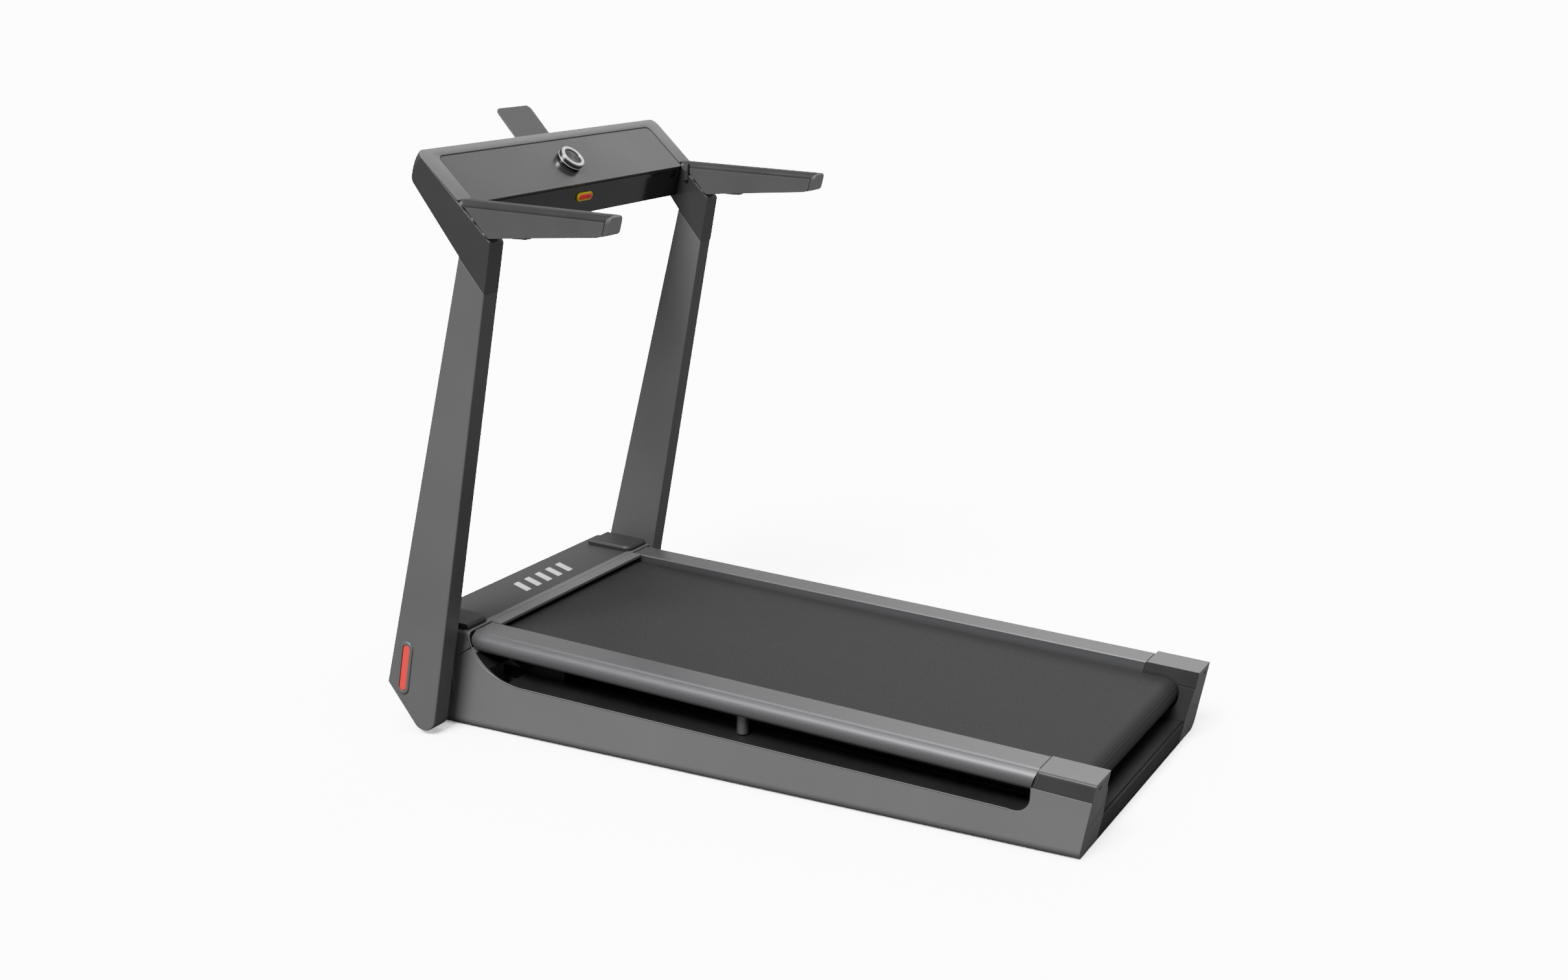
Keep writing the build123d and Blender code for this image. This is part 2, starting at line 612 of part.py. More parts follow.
with BuildPart() as tablet_rest:
    with BuildSketch(rest_plane.offset(-rest_thickness / 2)) as rest_outline:
        with Locations((0, 33.0)):
            Rectangle(2 * rest_half, 126.0)
        fillet(rest_outline.vertices().group_by(Axis.Y)[-1], 11.0)
    extrude(amount=rest_thickness)
    fillet(tablet_rest.edges().group_by(Axis.Y)[-1], 0.8)
write(tablet_rest, "tablet_rest")

with BuildPart() as console_frame:
    with BuildSketch(side_plane(-inner_half)) as console_side:
        with BuildLine():
            Polyline((console_top_y, console_top_z), (1151.3, 980.0), (1068.5, 888.0), (1055.5, 941.0), close=True)
        make_face()
        fillet(console_side.vertices().sort_by_distance((1151.3, 980.0))[0], 15.0)
    extrude(amount=2 * inner_half)
    # seats of the panel and the fascia, 3 mm deep
    with BuildSketch(panel_plane.offset(-3.0)):
        with Locations((0, -(panel_top + panel_bottom + 10.0) / 2)):
            Rectangle(2 * inner_half, panel_bottom + 10.0 - panel_top)
    extrude(amount=20.0, mode=Mode.SUBTRACT)
    with BuildSketch(fascia_plane.offset(-3.0)):
        Rectangle(2 * inner_half, 140.0)
    extrude(amount=20.0, mode=Mode.SUBTRACT)
    # inside, open at the panel and at the back
    with BuildSketch(side_plane(-inner_half + 5.0)):
        with BuildLine():
            Polyline((1128.0, 1010.0), (1140.0, 984.0), (1074.5, 909.0), (1064.5, 941.0), close=True)
        make_face()
    extrude(amount=2 * (inner_half - 5.0), mode=Mode.SUBTRACT)
    with BuildSketch(panel_plane.offset(-12.0)):
        with Locations((0, -67.0)):
            Rectangle(560.0, 70.0)
    extrude(amount=20.0, mode=Mode.SUBTRACT)
    # slot for the tablet rest
    with BuildSketch(rest_plane.offset(-rest_thickness / 2 - 0.4)):
        Rectangle(2 * rest_half + 0.8, 60.0)
    extrude(amount=rest_thickness + 0.8, mode=Mode.SUBTRACT)
    # socket of the safety key
    with BuildSketch(fascia_plane.offset(-12.0)):
        with Locations((0, -21.5)):
            SlotOverall(34.0, 8.0)
    extrude(amount=20.0, mode=Mode.SUBTRACT)
write(console_frame, "console_frame")

with BuildPart() as console_panel:
    with BuildSketch(panel_plane.offset(-2.7)) as panel_outline:
        with Locations((0, -(panel_top + gap + panel_bottom) / 2)):
            Rectangle(2 * (inner_half - gap), panel_bottom - panel_top - gap)
        fillet(panel_outline.vertices(), 7.0)
    extrude(amount=2.5)
    with BuildSketch(panel_plane.offset(-10.0)):
        with Locations((0, -knob_down)):
            Circle(5.0)
    extrude(amount=20.0, mode=Mode.SUBTRACT)
write(console_panel, "console_panel")

with BuildPart() as console_fascia:
    with BuildSketch(fascia_plane.offset(-2.6)):
        with Locations((0, -28.0)):
            Rectangle(2 * (inner_half - gap), 52.0)
    extrude(amount=2.6)
    with BuildSketch(fascia_plane.offset(-12.0)):
        with Locations((0, -21.5)):
            SlotOverall(34.0, 8.0)
    extrude(amount=20.0, mode=Mode.SUBTRACT)
write(console_fascia, "console_fascia")

with BuildPart() as console_back:
    with BuildSketch(slope_plane(1068.5, 888.0, back_angle).offset(-2.8)) as back_outline:
        with Locations((0, 60.0)):
            RectangleRounded(2 * inner_half - 24.0, 84.0, 8.0)
    extrude(amount=2.5)
write(console_back, "console_back")

# --- Control knob with a push button in its middle ---
knob_plane = Plane(
    origin=panel_plane.from_local_coords((0, -knob_down, 0)),
    x_dir=(1, 0, 0),
    z_dir=panel_plane.z_dir,
)
with BuildPart() as control_knob:
    for height, radius, depth in ((0.3, 20.5, 3.2), (3.5, knob_radius, 9.5)):
        with BuildSketch(knob_plane.offset(height)):
            Circle(radius)
        extrude(amount=depth)
    fillet(control_knob.faces().sort_by(Axis.Z)[-1].outer_wire().edges(), 1.0)
    with BuildSketch(knob_plane.offset(4.0)):
        Circle(17.0)
    extrude(amount=20.0, mode=Mode.SUBTRACT)
    with BuildSketch(knob_plane):
        Circle(4.0)
    extrude(amount=20.0, mode=Mode.SUBTRACT)
write(control_knob, "control_knob")

with BuildPart() as knob_button:
    with BuildSketch(knob_plane.offset(5.4)):
        Circle(16.7)
    extrude(amount=6.6)
    with BuildSketch(knob_plane.offset(-6.0)):
        Circle(3.8)
    extrude(amount=11.4)
write(knob_button, "knob_button")

with BuildPart() as safety_key:
    with BuildSketch(fascia_plane.offset(0.3)):
        with Locations((0, -21.5)):
            SlotOverall(46.0, 15.0)
    extrude(amount=3.2)
    chamfer(safety_key.edges().group_by(Axis.Y)[0], 0.6)
    with BuildSketch(fascia_plane.offset(-8.0)):
        with Locations((0, -21.5)):
            SlotOverall(33.4, 7.4)
    extrude(amount=9.0)
write(safety_key, "safety_key")

# --- Handrails, their end caps and the latch plates under them ---
rail_top_front, rail_top_rear = (1056.5, 951.9), (769.2, 940.8)
seam_upper, seam_lower, rail_low = (776.2, 933.6), (783.6, 907.6), (792.0, 905.6)
with BuildPart() as handrail:
    with BuildSketch(side_plane(rail_inner_x)) as handrail_side:
        with BuildLine():
            Polyline(rail_top_front, rail_top_rear, seam_upper, (780.6, 916.0), seam_lower, rail_low,
                     (1000.0, 892.3), (1003.6, 893.4), close=True)
        make_face()
    extrude(amount=upright_outer - rail_inner_x)
    top_face = handrail.faces().sort_by(Axis.Z)[-1]
    fillet(top_face.edges().filter_by(lambda e: e.length > 200.0), 12.0)
    # eye of the hinge
    with BuildSketch(Plane.XY.offset(910.0)):
        with Locations((hinge_x, rear_y + hinge_y)):
            Circle(7.5)
    extrude(amount=37.4, mode=Mode.SUBTRACT)
    with BuildSketch(Plane.XY.offset(936.4)):
        with Locations((hinge_x, rear_y + hinge_y)):
            Circle(5.0)
        with Locations((hinge_x + 5.0, rear_y + hinge_y)):
            Rectangle(10.0, 6.0)
    extrude(amount=11.0)
    with BuildSketch(Plane.XY.offset(930.0)):
        with Locations((hinge_x, rear_y + hinge_y)):
            Circle(2.0 + fit)
    extrude(amount=30.0, mode=Mode.SUBTRACT)
    # pocket of the latch
    block(934.0, 964.0, 880.0, 904.0, 333.0, 350.0, Mode.SUBTRACT)
write_both_sides(handrail, "handrail")

with BuildPart() as handrail_cap:
    with BuildSketch(side_plane(rail_inner_x + 0.4)) as cap_side:
        with BuildLine():
            Polyline((768.4, 940.6), (775.4, 933.4), (779.8, 915.8), (782.6, 907.6), (776.0, 908.8), (772.4, 912.4),
                     (765.4, 937.4), (766.0, 940.6), close=True)
        make_face()
    extrude(amount=upright_outer - rail_inner_x - 0.8)
    with BuildSketch(Plane.XZ.offset(-rear_y - 740.0)) as cap_end:
        with Locations(((rail_inner_x + upright_outer) / 2, 915.6)):
            Rectangle(upright_outer - rail_inner_x - 0.8, 50.0)
        fillet(cap_end.vertices().group_by(Axis.Y)[-1], 11.6)
    extrude(cap_end.sketch, amount=-60.0, mode=Mode.INTERSECT)
write_both_sides(handrail_cap, "handrail_cap")

with BuildPart() as handrail_latch:
    block(934.6, 963.4, 892.6, 900.6, 333.6, 349.4)
    chamfer(handrail_latch.edges().group_by(Axis.Z)[0], 1.0)
write_both_sides(handrail_latch, "handrail_latch")

with BuildPart() as handrail_pin:
    with BuildSketch(Plane.XY.offset(922.0)):
        with Locations((hinge_x, rear_y + hinge_y)):
            Circle(2.0)
    extrude(amount=25.0)
write_pair(handrail_pin, "handrail_pins")
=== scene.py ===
import json
import math

import bpy
from mathutils import Matrix, Vector


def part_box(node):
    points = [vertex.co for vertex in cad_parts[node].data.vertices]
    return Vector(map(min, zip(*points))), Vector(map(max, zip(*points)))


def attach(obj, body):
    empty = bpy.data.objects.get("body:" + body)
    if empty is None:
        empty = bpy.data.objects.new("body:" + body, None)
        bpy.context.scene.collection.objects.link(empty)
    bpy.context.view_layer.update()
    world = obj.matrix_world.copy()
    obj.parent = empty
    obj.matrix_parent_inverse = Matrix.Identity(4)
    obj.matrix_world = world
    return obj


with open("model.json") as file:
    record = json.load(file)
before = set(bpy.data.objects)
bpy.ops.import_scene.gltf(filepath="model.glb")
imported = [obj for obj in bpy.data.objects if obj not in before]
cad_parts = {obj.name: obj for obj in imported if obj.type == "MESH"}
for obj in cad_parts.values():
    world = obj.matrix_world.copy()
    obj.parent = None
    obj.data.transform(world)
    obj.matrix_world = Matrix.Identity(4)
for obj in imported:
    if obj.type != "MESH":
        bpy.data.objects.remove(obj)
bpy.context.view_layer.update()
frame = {"nodes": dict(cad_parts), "record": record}
nodes = frame["nodes"]
print("frame loaded:", len(nodes), "nodes")

mm = 0.001
sides = ((-1, "left"), (1, "right"))


def linearColor(hexCode):
    channels = [int(hexCode[i:i + 2], 16) / 255 for i in (1, 3, 5)]
    return [c / 12.92 if c <= 0.04045 else ((c + 0.055) / 1.055) ** 2.4 for c in channels] + [1.0]


def addNode(tree, kind, settings, inputs):
    node = tree.nodes.new("ShaderNode" + kind)
    for key, value in settings.items():
        setattr(node, key, value)
    for key, value in inputs.items():
        if isinstance(value, bpy.types.NodeSocket):
            tree.links.new(value, node.inputs[key])
        else:
            node.inputs[key].default_value = value
    return node


def perMetre(sizeMm):
    return 1000.0 / sizeMm        # how many pattern features fit in a metre


def waveScale(sizeMm):
    return math.pi / 10 * perMetre(sizeMm)        # a wave texture repeats every pi / 10 of its scale


def startMaterial(name):
    material = bpy.data.materials.new(name)
    material.use_nodes = True
    tree = material.node_tree
    tree.nodes.clear()
    coords = addNode(tree, "TexCoord", {}, {})
    return material, tree, coords.outputs["Object"]


def finishMaterial(tree, sockets):
    shader = addNode(tree, "BsdfPrincipled", {}, sockets)
    addNode(tree, "OutputMaterial", {}, {"Surface": shader.outputs[0]})


def mixedTone(tree, factor, dark, light):
    tone = addNode(tree, "Mix", {"data_type": "RGBA"},
                   {0: factor, 6: linearColor(dark), 7: linearColor(light)})
    return tone.outputs[2]


def spread(tree, value, low, high):
    # brings the middle part of a noise to the range from low to high
    ranged = addNode(tree, "MapRange", {},
                     {"Value": value, "From Min": 0.3, "From Max": 0.7, "To Min": low, "To Max": high})
    return ranged.outputs[0]


def wearAndHighlightEdges(tree, color, edgeHex, radiusMm, amount):
    # corners made lighter where the rounded normal leaves the flat one: partly rubbed wear, partly a
    # painted highlight on the edges
    soft = addNode(tree, "Bevel", {"samples": 4}, {"Radius": radiusMm * mm})
    flat = addNode(tree, "NewGeometry", {}, {})
    match = addNode(tree, "VectorMath", {"operation": "DOT_PRODUCT"},
                    {0: soft.outputs[0], 1: flat.outputs["Normal"]})
    mask = addNode(tree, "MapRange", {"clamp": True},
                   {"Value": match.outputs["Value"], "From Min": 0.995, "From Max": 0.8,
                    "To Min": 0.0, "To Max": amount})
    wearAndHighlight = addNode(tree, "Mix", {"data_type": "RGBA"},
                   {0: mask.outputs[0], 6: color, 7: linearColor(edgeHex)})
    return wearAndHighlight.outputs[2], soft.outputs[0]


def coatFinish(name, look):
    # coated and moulded surfaces: fine grain, soft cloudy tone, corners lighter from wear and from a
    # painted edge highlight
    # the grain is drawn coarser than the real one, so that it shows at all
    material, tree, coords = startMaterial(name)
    cloud = addNode(tree, "TexNoise", {},
                    {"Vector": coords, "Scale": perMetre(look["cloudMm"]), "Detail": 3.0})
    grain = addNode(tree, "TexNoise", {},
                    {"Vector": coords, "Scale": perMetre(look["grainMm"]), "Detail": 2.0})
    tone = mixedTone(tree, cloud.outputs[0], look["dark"], look["light"])
    speck = spread(tree, grain.outputs[0], 1 - look["speck"], 1 + look["speck"])
    toned = addNode(tree, "VectorMath", {"operation": "SCALE"}, {0: tone, "Scale": speck})
    # lighter corners: partly wear, partly painted highlight
    color, rounded = wearAndHighlightEdges(tree, toned.outputs[0], look["edge"], look["edgeMm"], look["edgeWearAndHighlight"])
    bump = addNode(tree, "Bump", {}, {"Height": grain.outputs[0], "Strength": look["bump"],
                                      "Distance": look["grainMm"] * mm * 0.25, "Normal": rounded})
    finishMaterial(tree, {
        "Base Color": color, "Roughness": spread(tree, cloud.outputs[0], look["rough"] - 0.04,
                                                 look["rough"] + 0.04),
        "Metallic": look.get("metal", 0.0), "Coat Weight": look.get("coat", 0.0),
        "Coat Roughness": 0.08, "Normal": bump.outputs[0]})
    return material


def brushedFinish(name, look):
    # drawn or turned metal: long fine lines, stretched along one way
    material, tree, coords = startMaterial(name)
    stretched = addNode(tree, "Mapping", {}, {"Vector": coords, "Scale": look["stretch"]})
    lines = addNode(tree, "TexNoise", {},
                    {"Vector": stretched.outputs[0], "Scale": perMetre(look["lineMm"]), "Detail": 3.0})
    tone = mixedTone(tree, lines.outputs[0], look["dark"], look["light"])
    # lighter corners: partly wear, partly painted highlight
    color, rounded = wearAndHighlightEdges(tree, tone, look["edge"], 1.2, look["edgeWearAndHighlight"])
    bump = addNode(tree, "Bump", {}, {"Height": lines.outputs[0], "Strength": look["bump"],
                                      "Distance": 0.05 * mm, "Normal": rounded})
    finishMaterial(tree, {
        "Base Color": color, "Roughness": spread(tree, lines.outputs[0], look["rough"] - 0.02,
                                                 look["rough"] + 0.02),
        "Metallic": look["metal"], "Normal": bump.outputs[0]})
    return material


def beltWeave(name):
    # PVC treadmill belt: fine ribs across the belt and a grain between them, matt and a little dusty; the
    # grooves between the ribs are painted darker as shade
    weave = {"ribMm": 3.2, "grainMm": 1.4, "cloudMm": 180, "groove": "#202021", "rib": "#303031",
             "dust": "#292929"}
    material, tree, coords = startMaterial(name)
    ribs = addNode(tree, "TexWave", {"wave_type": "BANDS", "bands_direction": "Y", "wave_profile": "SIN"},
                   {"Vector": coords, "Scale": waveScale(weave["ribMm"]), "Distortion": 0.0})
    grain = addNode(tree, "TexNoise", {},
                    {"Vector": coords, "Scale": perMetre(weave["grainMm"]), "Detail": 3.0})
    cloud = addNode(tree, "TexNoise", {},
                    {"Vector": coords, "Scale": perMetre(weave["cloudMm"]), "Detail": 4.0})
    # darker in the grooves than on the ribs: painted shade
    tone = mixedTone(tree, ribs.outputs[0], weave["groove"], weave["rib"])
    dusty = addNode(tree, "Mix", {"data_type": "RGBA"},
                    {0: cloud.outputs[0], 6: tone, 7: linearColor(weave["dust"])})
    height = addNode(tree, "Math", {"operation": "MULTIPLY_ADD"},
                     {0: grain.outputs[0], 1: 0.35, 2: ribs.outputs[0]})
    bump = addNode(tree, "Bump", {}, {"Height": height.outputs[0], "Strength": 0.6, "Distance": 0.4 * mm})
    finishMaterial(tree, {"Base Color": dusty.outputs[2], "Roughness": 0.6, "Specular IOR Level": 0.3,
                          "Normal": bump.outputs[0]})
    return material


def turnedDisc(name, frameMatrix):
    # knob face: fine rings cut on a lathe, and light and dark wedges round the centre that are a painted
    # reflection
    disc = {"reflectionWedges": 4, "ringMm": 0.5, "dark": "#1e1e20", "light": "#4a4a4d"}
    material, tree, coords = startMaterial(name)
    centre = frameMatrix.to_translation()
    spin = frameMatrix.inverted().to_euler()
    moved = addNode(tree, "VectorMath", {"operation": "SUBTRACT"}, {0: coords, 1: centre})
    local = addNode(tree, "Mapping", {}, {"Vector": moved.outputs[0], "Rotation": spin})
    wedge = addNode(tree, "TexGradient", {"gradient_type": "RADIAL"}, {"Vector": local.outputs[0]})
    # light and dark wedges round the centre: painted reflection
    wave = addNode(tree, "Math", {"operation": "MULTIPLY"},
                   {0: wedge.outputs[1], 1: disc["reflectionWedges"] * math.pi})
    reflectionLobes = addNode(tree, "Math", {"operation": "SINE"}, {0: wave.outputs[0]})
    shade = addNode(tree, "MapRange", {}, {"Value": reflectionLobes.outputs[0], "From Min": -1.0, "From Max": 1.0})
    rings = addNode(tree, "TexWave", {"wave_type": "RINGS", "rings_direction": "Z"},
                    {"Vector": local.outputs[0], "Scale": waveScale(disc["ringMm"]), "Distortion": 0.0})
    bump = addNode(tree, "Bump", {}, {"Height": rings.outputs[0], "Strength": 0.3, "Distance": 0.04 * mm})
    finishMaterial(tree, {"Base Color": mixedTone(tree, shade.outputs[0], disc["dark"], disc["light"]),
                          "Roughness": 0.35, "Metallic": 0.6, "Normal": bump.outputs[0]})
    return material


coatedLooks = {
    # powder-coated aluminium: even graphite satin with a very fine orange-peel grain
    "powderCoatGraphite": {
        "dark": "#5e5e5f", "light": "#666667", "edge": "#8a8a8b", "edgeMm": 1.5, "edgeWearAndHighlight": 0.25,
        "grainMm": 0.9, "cloudMm": 160, "speck": 0.04, "rough": 0.45, "bump": 0.15, "metal": 0.2},
    # moulded base sides: the same colour in plastic, a little lighter and softer
    "mouldedBase": {
        "dark": "#666667", "light": "#6e6e6f", "edge": "#8e8e8f", "edgeMm": 1.5, "edgeWearAndHighlight": 0.2,
        "grainMm": 1.0, "cloudMm": 200, "speck": 0.04, "rough": 0.5, "bump": 0.15, "metal": 0.1},
    # gloss ABS of the arms: dark, smooth, with broad clear reflections
    "pianoAbs": {
        "dark": "#343435", "light": "#393939", "edge": "#58585a", "edgeMm": 1.2, "edgeWearAndHighlight": 0.25,
        "grainMm": 2.0, "cloudMm": 90, "speck": 0.01, "rough": 0.25, "bump": 0.0, "coat": 0.4},
    # polished ABS fascia: almost black, with the sharpest reflections of all
    "fasciaAbs": {
        "dark": "#0f0f10", "light": "#131314", "edge": "#3a3a3b", "edgeMm": 1.0, "edgeWearAndHighlight": 0.2,
        "grainMm": 2.0, "cloudMm": 70, "speck": 0.01, "rough": 0.12, "bump": 0.0, "coat": 0.6},
    # satin ABS border of the console: mid grey, with light corners from wear and from a painted highlight
    "satinAbs": {
        "dark": "#636364", "light": "#6a6a6b", "edge": "#a2a2a3", "edgeMm": 1.2, "edgeWearAndHighlight": 0.3,
        "grainMm": 0.8, "cloudMm": 120, "speck": 0.04, "rough": 0.42, "bump": 0.2},
    # printed acrylic sheet of the console panel: dark, with a soft gloss
    "printedAcrylic": {
        "dark": "#202021", "light": "#252526", "edge": "#8c8c8d", "edgeMm": 0.8, "edgeWearAndHighlight": 0.4,
        "grainMm": 1.5, "cloudMm": 140, "speck": 0.01, "rough": 0.3, "bump": 0.0, "coat": 0.2},
    # textured ABS of the handrails: dark grey and dry, with no clear reflections
    "texturedAbs": {
        "dark": "#484849", "light": "#4f4f50", "edge": "#7a7a7b", "edgeMm": 1.2, "edgeWearAndHighlight": 0.2,
        "grainMm": 0.7, "cloudMm": 90, "speck": 0.06, "rough": 0.55, "bump": 0.4},
    # rounded top of the handrails: the same plastic, smoother and darker
    "railTop": {
        "dark": "#262627", "light": "#2b2b2c", "edge": "#4a4a4b", "edgeMm": 1.2, "edgeWearAndHighlight": 0.2,
        "grainMm": 0.9, "cloudMm": 90, "speck": 0.03, "rough": 0.34, "bump": 0.1},
    # ABS plugs in the handrails' ends: light satin grey
    "plugAbs": {
        "dark": "#8c8c8d", "light": "#969697", "edge": "#b8b8b9", "edgeMm": 1.0, "edgeWearAndHighlight": 0.2,
        "grainMm": 0.9, "cloudMm": 40, "speck": 0.03, "rough": 0.45, "bump": 0.1},
    # finely grained ABS hood: darker than the base and even all over
    "hoodAbs": {
        "dark": "#363637", "light": "#3d3d3e", "edge": "#6a6a6b", "edgeMm": 1.2, "edgeWearAndHighlight": 0.2,
        "grainMm": 0.8, "cloudMm": 150, "speck": 0.04, "rough": 0.5, "bump": 0.2},
    # satin ABS trim strip: the lighter line over the hood; round the windows the same colour makes the thin
    # light bead that is a painted highlight
    "trimAbsAndHighlight": {
        "dark": "#5f5f60", "light": "#666667", "edge": "#8a8a8b", "edgeMm": 1.0, "edgeWearAndHighlight": 0.2,
        "grainMm": 0.8, "cloudMm": 90, "speck": 0.04, "rough": 0.42, "bump": 0.2},
    # satin ABS tops of the end caps: mid grey with light corners from wear and from a painted highlight
    "capAbs": {
        "dark": "#5f5f60", "light": "#656566", "edge": "#a0a0a1", "edgeMm": 1.5, "edgeWearAndHighlight": 0.3,
        "grainMm": 0.9, "cloudMm": 80, "speck": 0.04, "rough": 0.4, "bump": 0.2},
    # smoother ABS sides of the end caps: a soft gloss of their own, in a darker copy of the caps' grey that
    # is painted shade
    "capSidesShaded": {
        "dark": "#343435", "light": "#3a3a3b", "edge": "#7a7a7b", "edgeMm": 1.2, "edgeWearAndHighlight": 0.25,
        "grainMm": 1.5, "cloudMm": 60, "speck": 0.01, "rough": 0.26, "bump": 0.0, "coat": 0.3},
    # black coated sheet steel inside the base: matt and nearly lost in shade; the same black also makes the
    # gap, slot and hole marks that are painted shade
    "blackSheetAndShade": {
        "dark": "#131313", "light": "#191919", "edge": "#333333", "edgeMm": 1.0, "edgeWearAndHighlight": 0.2,
        "grainMm": 1.2, "cloudMm": 120, "speck": 0.08, "rough": 0.6, "bump": 0.3},
    # unpainted ABS behind the covers: dark and slightly rough
    "innerAbs": {
        "dark": "#2c2c2d", "light": "#323233", "edge": "#555556", "edgeMm": 1.2, "edgeWearAndHighlight": 0.2,
        "grainMm": 0.9, "cloudMm": 90, "speck": 0.05, "rough": 0.5, "bump": 0.3},
    # moulded rubber: dry, slightly mottled, never shiny
    "mouldedRubber": {
        "dark": "#161616", "light": "#1f1f1f", "edge": "#2f2f2f", "edgeMm": 1.0, "edgeWearAndHighlight": 0.2,
        "grainMm": 1.4, "cloudMm": 30, "speck": 0.12, "rough": 0.75, "bump": 0.5},
    # red ABS of the release bars and the safety key: bright, with a thin gloss
    "redAbs": {
        "dark": "#f62a2e", "light": "#ff3236", "edge": "#ff8a88", "edgeMm": 0.8, "edgeWearAndHighlight": 0.3,
        "grainMm": 0.9, "cloudMm": 30, "speck": 0.04, "rough": 0.35, "bump": 0.15, "coat": 0.2},
    # yellow ABS surround of the safety key: a clean warning colour
    "yellowAbs": {
        "dark": "#e8d020", "light": "#f2dc2c", "edge": "#fff27a", "edgeMm": 0.6, "edgeWearAndHighlight": 0.2,
        "grainMm": 0.9, "cloudMm": 20, "speck": 0.04, "rough": 0.35, "bump": 0.1},
    # white pad-printed ink of the mark: flat and even
    "whitePrint": {
        "dark": "#e6e6e6", "light": "#f4f4f4", "edge": "#ffffff", "edgeMm": 0.4, "edgeWearAndHighlight": 0.1,
        "grainMm": 0.8, "cloudMm": 40, "speck": 0.03, "rough": 0.4, "bump": 0.1},
}
brushedLooks = {
    # anodised aluminium rail, drawn lengthways: satin with faint streaks along it
    "anodisedRail": {
        "dark": "#707072", "light": "#79797b", "edge": "#a2a2a4", "edgeWearAndHighlight": 0.3,
        "stretch": (1.0, 0.02, 1.0), "lineMm": 1.2, "rough": 0.34, "bump": 0.03, "metal": 0.7},
    # turned aluminium side of the knob: bright, with fine lines; its white corners are a painted highlight
    "turnedKnob": {
        "dark": "#8b8b8d", "light": "#b4b4b6", "edge": "#ffffff", "edgeWearAndHighlight": 0.8,
        "stretch": (0.15, 1.0, 1.0), "lineMm": 0.5, "rough": 0.22, "bump": 0.2, "metal": 1.0},
    # chromed ring round the knob: nearly white, with soft-edged reflections
    "chromeRing": {
        "dark": "#e4e4e6", "light": "#f6f6f7", "edge": "#ffffff", "edgeWearAndHighlight": 0.5,
        "stretch": (1.0, 1.0, 1.0), "lineMm": 2.0, "rough": 0.16, "bump": 0.02, "metal": 0.6},
    # zinc-plated steel of axles, pins and screws: pale metal with drawn lines
    "zincSteel": {
        "dark": "#8d8f90", "light": "#a9abac", "edge": "#d6d7d8", "edgeWearAndHighlight": 0.5,
        "stretch": (0.05, 1.0, 1.0), "lineMm": 1.0, "rough": 0.3, "bump": 0.2, "metal": 1.0},
    # waxed fibreboard deck under the belt: nearly black, slick, with a faint length grain
    "waxedBoard": {
        "dark": "#181614", "light": "#26221e", "edge": "#3a342c", "edgeWearAndHighlight": 0.3,
        "stretch": (1.0, 0.05, 1.0), "lineMm": 3.0, "rough": 0.4, "bump": 0.15, "metal": 0.0},
}
finishes = {name: coatFinish(name, look) for name, look in coatedLooks.items()}
finishes.update({name: brushedFinish(name, look) for name, look in brushedLooks.items()})
finishes["wovenBelt"] = beltWeave("wovenBelt")

slotFinish = {
    "mast_paint": "powderCoatGraphite", "arm_gloss": "pianoAbs", "console_border": "satinAbs",
    "console_dark": "printedAcrylic", "fascia_gloss": "fasciaAbs", "inner_plastic": "innerAbs",
    "base_paint": "mouldedBase", "pan_black": "blackSheetAndShade", "motor_black": "blackSheetAndShade",
    "dark_steel": "blackSheetAndShade", "rail_aluminium": "anodisedRail", "cap_plastic": "capAbs",
    "board": "waxedBoard", "belt_rubber": "wovenBelt", "rubber": "mouldedRubber", "steel": "zincSteel",
    "hood_plastic": "hoodAbs", "trim_plastic": "trimAbsAndHighlight", "wheel_tyre": "mouldedRubber",
    "red_plastic": "redAbs", "tablet_plate": "texturedAbs", "knob_metal": "turnedKnob",
    "knob_face": "turnedKnob", "handrail_plastic": "texturedAbs",
}
for entry in frame["record"]["subparts"]:
    node = nodes[entry["node"]]
    node.data.materials.clear()
    node.data.materials.append(finishes[slotFinish[entry["material_slot"]]])


def only(piece):
    bpy.ops.object.select_all(action="DESELECT")
    piece.select_set(True)
    bpy.context.view_layer.objects.active = piece


def smoothPiece(piece, angle):
    only(piece)
    bpy.ops.object.shade_smooth_by_angle(angle=math.radians(angle))


for node in nodes.values():
    smoothPiece(node, 28)


def paintFaces(name, finish, wanted):
    # a second finish on the faces whose direction passes the test
    mesh = nodes[name].data
    mesh.materials.append(finishes[finish])
    for face in mesh.polygons:
        if wanted(face.normal):
            face.material_index = len(mesh.materials) - 1


panelSlope = math.radians(44.0)        # how steeply the console leans
slopeUp = Vector((0.0, -math.sin(panelSlope), math.cos(panelSlope)))
for side, word in sides:
    paintFaces(word + "_arm", "satinAbs", lambda n: n.dot(slopeUp) > 0.97)
    paintFaces(word + "_side_beam", "blackSheetAndShade", lambda n, s=side: n.z > 0.6 or n.x * s < -0.2)
    # the end caps' sides and rear in the darker copy: painted shade
    paintFaces(word + "_end_cap", "capSidesShaded", lambda n: abs(n.x) > 0.3 or n.y < -0.5)
    paintFaces(word + "_handrail", "railTop", lambda n: n.z > 0.12)
    paintFaces(word + "_side_rail", "blackSheetAndShade", lambda n: n.z < -0.8)
    paintFaces(word + "_handrail_cap", "plugAbs", lambda n: n.y < -0.3)
paintFaces("motor_hood", "mouldedBase", lambda n: abs(n.x) > 0.75)
paintFaces("hinge_brackets", "mouldedBase", lambda n: True)
paintFaces("bar_bezels", "powderCoatGraphite", lambda n: True)
# the tablet rest's side faces in lighter grey: partly a lighter rim, partly a painted highlight
paintFaces("tablet_rest", "capAbs", lambda n: abs(n.x) > 0.5)
print("materials set:", len(finishes))


